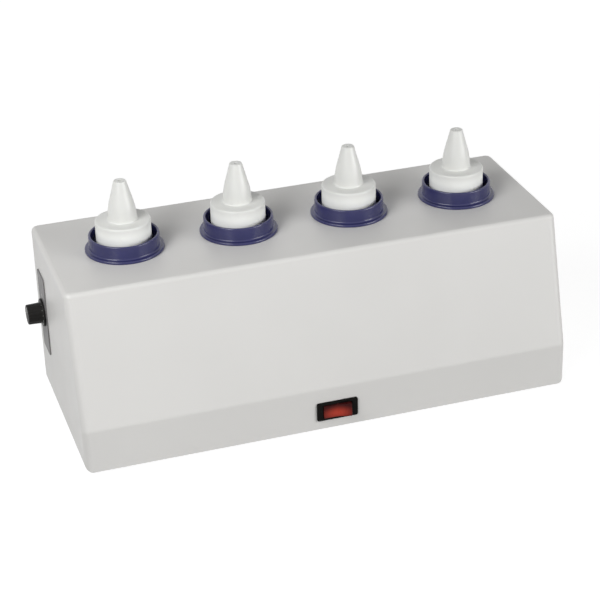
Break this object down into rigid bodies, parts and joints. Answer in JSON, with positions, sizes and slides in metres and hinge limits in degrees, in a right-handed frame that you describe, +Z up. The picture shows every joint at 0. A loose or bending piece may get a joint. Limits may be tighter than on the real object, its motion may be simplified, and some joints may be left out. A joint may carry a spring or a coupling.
{
  "type": "gel warmer",
  "caption": "Table-top warmer for ultrasound gel bottles: box with a sloping front, round collars that hold nozzle-capped bottles, a thermostat knob and a lit rocker switch.",
  "frame": {"origin": "middle of the whole outline, knob included, on the table plane", "axes": "+Z up, -Y towards the sloping front, -X towards the end with the knob"},
  "size_m": [0.4206, 0.1753, 0.2032],
  "materials": {
    "cover_plastic": "fine satin texture",
    "zinc_steel": "zinc-plated",
    "black_rubber": "matte",
    "navy_plastic": "semi-gloss",
    "well_aluminium": "drawn",
    "heater_silicone": "matte",
    "bottle_plastic": "translucent white",
    "cap_plastic": "satin",
    "dial_metal": "satin",
    "black_plastic": "satin",
    "thermostat_metal": "nickel-plated",
    "red_plastic": "translucent, lit",
    "brass": "plain",
    "copper": "plain"
  },
  "bodies": {
    "warmer": {"cover": "cover_plastic", "pan": "zinc_steel", "pan_screws": "zinc_steel", "foot_screws": "zinc_steel", "foot_nuts": "zinc_steel", "rail": "zinc_steel", "rail_screws": "zinc_steel", "rail_nuts": "zinc_steel", "dial_plate": "dial_metal", "thermostat": "thermostat_metal", "thermostat_nut": "thermostat_metal", "sensor": "copper", "sensor_strap": "well_aluminium", "switch_body": "black_plastic", "switch_terminals": "brass", "inlet": "black_plastic", "inlet_pins": "brass", "inlet_screws": "zinc_steel", "inlet_nuts": "zinc_steel", "foot_1": "black_rubber", "collar_1": "navy_plastic", "ring_nut_1": "black_plastic", "well_1": "well_aluminium", "heater_1": "heater_silicone", "bottle_1": "bottle_plastic", "foot_2": "black_rubber", "collar_2": "navy_plastic", "ring_nut_2": "black_plastic", "well_2": "well_aluminium", "heater_2": "heater_silicone", "bottle_2": "bottle_plastic", "foot_3": "black_rubber", "collar_3": "navy_plastic", "ring_nut_3": "black_plastic", "well_3": "well_aluminium", "heater_3": "heater_silicone", "bottle_3": "bottle_plastic", "foot_4": "black_rubber", "collar_4": "navy_plastic", "ring_nut_4": "black_plastic", "well_4": "well_aluminium", "heater_4": "heater_silicone", "bottle_4": "bottle_plastic"},
    "thermostat_dial": {"knob": "black_plastic", "thermostat_shaft": "thermostat_metal"},
    "switch_rocker": {"rocker": "red_plastic"},
    "bottle_cap_1": {"cap_1": "cap_plastic"},
    "bottle_cap_2": {"cap_2": "cap_plastic"},
    "bottle_cap_3": {"cap_3": "cap_plastic"},
    "bottle_cap_4": {"cap_4": "cap_plastic"}
  },
  "joints": [
    {"name": "knob_turn", "type": "hinge", "parent": "warmer", "child": "thermostat_dial", "pos_m": [-0.1957, 0.0492, 0.0811], "axis": [1, 0, 0], "range_deg": [-135, 135]},
    {"name": "rocker_tilt", "type": "hinge", "parent": "warmer", "child": "switch_rocker", "pos_m": [0.0105, -0.0833, 0.019], "axis": [0, 0, 1], "range_deg": [0, 18]},
    {"name": "cap_1_unscrew", "type": "hinge", "parent": "warmer", "child": "bottle_cap_1", "pos_m": [-0.1328, 0.0115, 0.1475], "axis": [0, 0, 1], "range_deg": [0, 360]},
    {"name": "cap_2_unscrew", "type": "hinge", "parent": "warmer", "child": "bottle_cap_2", "pos_m": [-0.0386, 0.0115, 0.1475], "axis": [0, 0, 1], "range_deg": [0, 360]},
    {"name": "cap_3_unscrew", "type": "hinge", "parent": "warmer", "child": "bottle_cap_3", "pos_m": [0.0556, 0.0115, 0.1475], "axis": [0, 0, 1], "range_deg": [0, 360]},
    {"name": "cap_4_unscrew", "type": "hinge", "parent": "warmer", "child": "bottle_cap_4", "pos_m": [0.1498, 0.0115, 0.1475], "axis": [0, 0, 1], "range_deg": [0, 360]}
  ]
}
